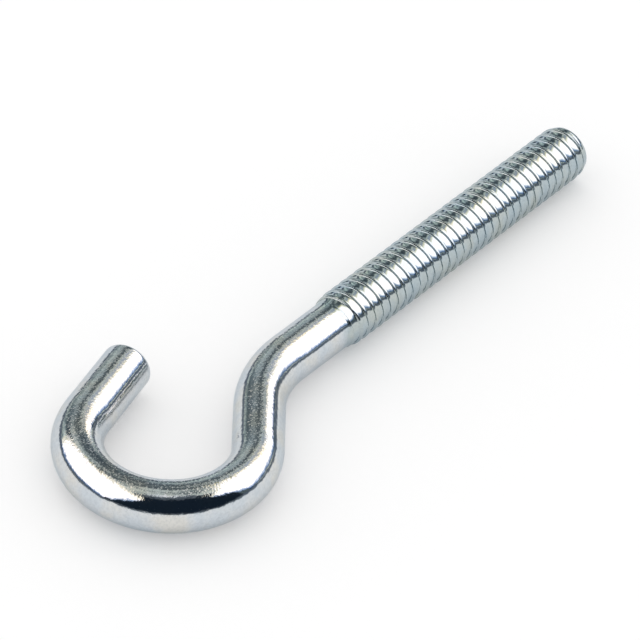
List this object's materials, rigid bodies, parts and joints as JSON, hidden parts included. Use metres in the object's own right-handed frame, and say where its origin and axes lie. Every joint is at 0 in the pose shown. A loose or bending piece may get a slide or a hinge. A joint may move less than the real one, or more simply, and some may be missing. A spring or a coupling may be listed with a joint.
{
  "type": "hook bolt",
  "caption": "Steel rod bent into an open eye at one end and rolled with a coarse machine thread at the other, bright zinc plated.",
  "frame": {"origin": "on the thread's axis, where the plain shank meets the thread", "axes": "+X along the thread and out of its free end, +Z square to the flat plane that the hook lies in, +Y to the side that the hook's end is on"},
  "size_m": [0.0796, 0.0258, 0.0064],
  "materials": {
    "zinc_plated_steel": "bright zinc plate, glossy on the plain rod and faintly grained"
  },
  "bodies": {
    "root": {"hook_bolt": "zinc_plated_steel"}
  },
  "joints": []
}
